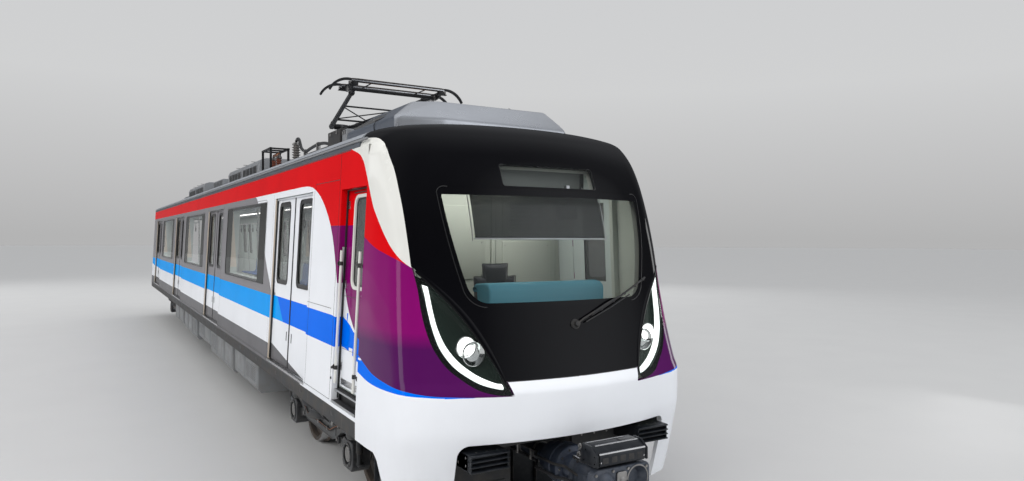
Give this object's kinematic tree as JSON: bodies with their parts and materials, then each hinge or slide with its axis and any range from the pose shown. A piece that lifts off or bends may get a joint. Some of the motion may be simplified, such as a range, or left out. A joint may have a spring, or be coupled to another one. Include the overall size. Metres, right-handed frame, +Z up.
{
  "type": "metro cab car",
  "caption": "Cab car of a metro train: hollow steel body with sliding door leaves, sloped nose, roof pantograph, couplers and two swivelling bogies on flanged wheels.",
  "frame": {"origin": "centre of the car's length and width, at the lowest point of the wheel flanges, 28 mm below the rail top", "axes": "+Z up, Y along the car with the cab end at -Y, X across"},
  "size_m": [2.912, 23.5, 4.603],
  "materials": {
    "body_paint": "gloss paint with coloured bands",
    "nose_paint": "gloss paint, white, red, purple and blue",
    "bumper_paint": "gloss white paint",
    "black_gloss": "gloss black",
    "glass": "tinted glass",
    "screen_glass": "clear laminated glass",
    "lamp": "clear cover over dark housing",
    "frame_black": "satin black",
    "frame_grey": "satin grey",
    "roof_grey": "satin grey",
    "silver": "satin",
    "steel": "rolled and turned steel",
    "stainless": "brushed",
    "rubber": "matt",
    "interior": "satin panels",
    "desk": "moulded",
    "seat": "moulded",
    "fabric": "woven"
  },
  "bodies": {
    "car_body": {"air_conditioning": "roof_grey", "anticlimbers": "frame_black", "cab_bulkhead": "interior", "cab_desk": "desk", "cab_handrails": "stainless", "cab_steps": "stainless", "ceiling": "interior", "destination_display": "black_gloss", "draft_gear_brackets": "frame_black", "driver_seat": "fabric", "front_bumper": "bumper_paint", "front_mask": "black_gloss", "gangway_bellows": "rubber", "gangway_frame": "silver", "grab_poles": "stainless", "headlight_left": "lamp", "headlight_right": "lamp", "nose_panels": "nose_paint", "pantograph_base": "frame_grey", "passenger_seats": "seat", "rear_end_wall": "body_paint", "roof": "roof_grey", "roof_boxes": "roof_grey", "roof_fairing": "silver", "side_wall_left": "body_paint", "side_wall_right": "body_paint", "side_windows_left": "glass", "side_windows_right": "glass", "underfloor_equipment": "frame_grey", "underframe": "frame_black", "windscreen": "screen_glass"},
    "bogie_front": {"bogie_frame_front": "frame_grey"},
    "bogie_rear": {"bogie_frame_rear": "frame_grey"},
    "pantograph_lower": {"pantograph_lower_arm": "frame_black"},
    "pantograph_upper": {"pantograph_upper_arm": "frame_black"},
    "pantograph_top": {"pantograph_head": "frame_black"},
    "coupler": {"front_coupler": "frame_black"},
    "drawbar": {"rear_drawbar": "frame_black"},
    "axle_1": {"wheelset_1": "steel"},
    "axle_2": {"wheelset_2": "steel"},
    "axle_3": {"wheelset_3": "steel"},
    "axle_4": {"wheelset_4": "steel"},
    "cab_leaf_left": {"cab_door_left": "body_paint"},
    "cab_leaf_right": {"cab_door_right": "body_paint"},
    "leaf_left_1_front": {"door_left_1_front": "body_paint"},
    "leaf_left_1_rear": {"door_left_1_rear": "body_paint"},
    "leaf_left_2_front": {"door_left_2_front": "body_paint"},
    "leaf_left_2_rear": {"door_left_2_rear": "body_paint"},
    "leaf_left_3_front": {"door_left_3_front": "body_paint"},
    "leaf_left_3_rear": {"door_left_3_rear": "body_paint"},
    "leaf_left_4_front": {"door_left_4_front": "body_paint"},
    "leaf_left_4_rear": {"door_left_4_rear": "body_paint"},
    "leaf_right_1_front": {"door_right_1_front": "body_paint"},
    "leaf_right_1_rear": {"door_right_1_rear": "body_paint"},
    "leaf_right_2_front": {"door_right_2_front": "body_paint"},
    "leaf_right_2_rear": {"door_right_2_rear": "body_paint"},
    "leaf_right_3_front": {"door_right_3_front": "body_paint"},
    "leaf_right_3_rear": {"door_right_3_rear": "body_paint"},
    "leaf_right_4_front": {"door_right_4_front": "body_paint"},
    "leaf_right_4_rear": {"door_right_4_rear": "body_paint"}
  },
  "joints": [
    {"name": "door_left_1", "type": "slide", "parent": "car_body", "child": "leaf_left_1_front", "axis": [0, -1, 0], "range_m": [0, 0.8]},
    {"name": "door_left_1_mate", "type": "slide", "parent": "car_body", "child": "leaf_left_1_rear", "axis": [0, 1, 0], "range_m": [0, 0.8]},
    {"name": "door_left_2", "type": "slide", "parent": "car_body", "child": "leaf_left_2_front", "axis": [0, -1, 0], "range_m": [0, 0.8]},
    {"name": "door_left_2_mate", "type": "slide", "parent": "car_body", "child": "leaf_left_2_rear", "axis": [0, 1, 0], "range_m": [0, 0.8]},
    {"name": "door_left_3", "type": "slide", "parent": "car_body", "child": "leaf_left_3_front", "axis": [0, -1, 0], "range_m": [0, 0.8]},
    {"name": "door_left_3_mate", "type": "slide", "parent": "car_body", "child": "leaf_left_3_rear", "axis": [0, 1, 0], "range_m": [0, 0.8]},
    {"name": "door_left_4", "type": "slide", "parent": "car_body", "child": "leaf_left_4_front", "axis": [0, -1, 0], "range_m": [0, 0.8]},
    {"name": "door_left_4_mate", "type": "slide", "parent": "car_body", "child": "leaf_left_4_rear", "axis": [0, 1, 0], "range_m": [0, 0.8]},
    {"name": "cab_door_left_hinge", "type": "hinge", "parent": "car_body", "child": "cab_leaf_left", "pos_m": [-1.338, -9.328, 1.158], "axis": [0.0506, 0, 0.9987], "range_deg": [0, 90]},
    {"name": "door_right_1", "type": "slide", "parent": "car_body", "child": "leaf_right_1_front", "axis": [0, -1, 0], "range_m": [0, 0.8]},
    {"name": "door_right_1_mate", "type": "slide", "parent": "car_body", "child": "leaf_right_1_rear", "axis": [0, 1, 0], "range_m": [0, 0.8]},
    {"name": "door_right_2", "type": "slide", "parent": "car_body", "child": "leaf_right_2_front", "axis": [0, -1, 0], "range_m": [0, 0.8]},
    {"name": "door_right_2_mate", "type": "slide", "parent": "car_body", "child": "leaf_right_2_rear", "axis": [0, 1, 0], "range_m": [0, 0.8]},
    {"name": "door_right_3", "type": "slide", "parent": "car_body", "child": "leaf_right_3_front", "axis": [0, -1, 0], "range_m": [0, 0.8]},
    {"name": "door_right_3_mate", "type": "slide", "parent": "car_body", "child": "leaf_right_3_rear", "axis": [0, 1, 0], "range_m": [0, 0.8]},
    {"name": "door_right_4", "type": "slide", "parent": "car_body", "child": "leaf_right_4_front", "axis": [0, -1, 0], "range_m": [0, 0.8]},
    {"name": "door_right_4_mate", "type": "slide", "parent": "car_body", "child": "leaf_right_4_rear", "axis": [0, 1, 0], "range_m": [0, 0.8]},
    {"name": "cab_door_right_hinge", "type": "hinge", "parent": "car_body", "child": "cab_leaf_right", "pos_m": [1.338, -9.328, 1.158], "axis": [0.0506, 0, -0.9987], "range_deg": [0, 90]},
    {"name": "bogie_front_swivel", "type": "hinge", "parent": "car_body", "child": "bogie_front", "pos_m": [0, -7.6, 0.9], "axis": [0, 0, 1], "range_deg": [-5, 5]},
    {"name": "bogie_rear_swivel", "type": "hinge", "parent": "car_body", "child": "bogie_rear", "pos_m": [0, 7.6, 0.9], "axis": [0, 0, 1], "range_deg": [-5, 5]},
    {"name": "axle_1_roll", "type": "hinge", "parent": "bogie_front", "child": "axle_1", "pos_m": [0, -8.7, 0.458], "axis": [1, 0, 0], "continuous": true},
    {"name": "axle_2_roll", "type": "hinge", "parent": "bogie_front", "child": "axle_2", "pos_m": [0, -6.5, 0.458], "axis": [1, 0, 0], "continuous": true},
    {"name": "axle_3_roll", "type": "hinge", "parent": "bogie_rear", "child": "axle_3", "pos_m": [0, 6.5, 0.458], "axis": [1, 0, 0], "continuous": true},
    {"name": "axle_4_roll", "type": "hinge", "parent": "bogie_rear", "child": "axle_4", "pos_m": [0, 8.7, 0.458], "axis": [1, 0, 0], "continuous": true},
    {"name": "coupler_swing", "type": "hinge", "parent": "car_body", "child": "coupler", "pos_m": [0, -9.95, 0.828], "axis": [0, 0, 1], "range_deg": [-8, 8]},
    {"name": "drawbar_swing", "type": "hinge", "parent": "car_body", "child": "drawbar", "pos_m": [0, 9.95, 0.828], "axis": [0, 0, 1], "range_deg": [-8, 8]},
    {"name": "pantograph_raise", "type": "hinge", "parent": "car_body", "child": "pantograph_lower", "pos_m": [0, -6.2, 3.978], "axis": [1, 0, 0], "range_deg": [-7, 33]},
    {"name": "pantograph_knee", "type": "hinge", "parent": "pantograph_lower", "child": "pantograph_upper", "pos_m": [0, -4.95, 4.358], "axis": [1, 0, 0], "range_deg": [-62, 14]},
    {"name": "pantograph_level", "type": "hinge", "parent": "pantograph_upper", "child": "pantograph_top", "pos_m": [0, -7.13, 4.508], "axis": [1, 0, 0], "range_deg": [-7, 29]}
  ],
  "couplings": [
    {"joint": "door_left_1_mate", "follows": "door_left_1", "ratio": 1},
    {"joint": "door_left_2_mate", "follows": "door_left_2", "ratio": 1},
    {"joint": "door_left_3_mate", "follows": "door_left_3", "ratio": 1},
    {"joint": "door_left_4_mate", "follows": "door_left_4", "ratio": 1},
    {"joint": "door_right_1_mate", "follows": "door_right_1", "ratio": 1},
    {"joint": "door_right_2_mate", "follows": "door_right_2", "ratio": 1},
    {"joint": "door_right_3_mate", "follows": "door_right_3", "ratio": 1},
    {"joint": "door_right_4_mate", "follows": "door_right_4", "ratio": 1},
    {"joint": "pantograph_knee", "follows": "pantograph_raise", "ratio": -1.85},
    {"joint": "pantograph_level", "follows": "pantograph_raise", "ratio": 0.85}
  ]
}
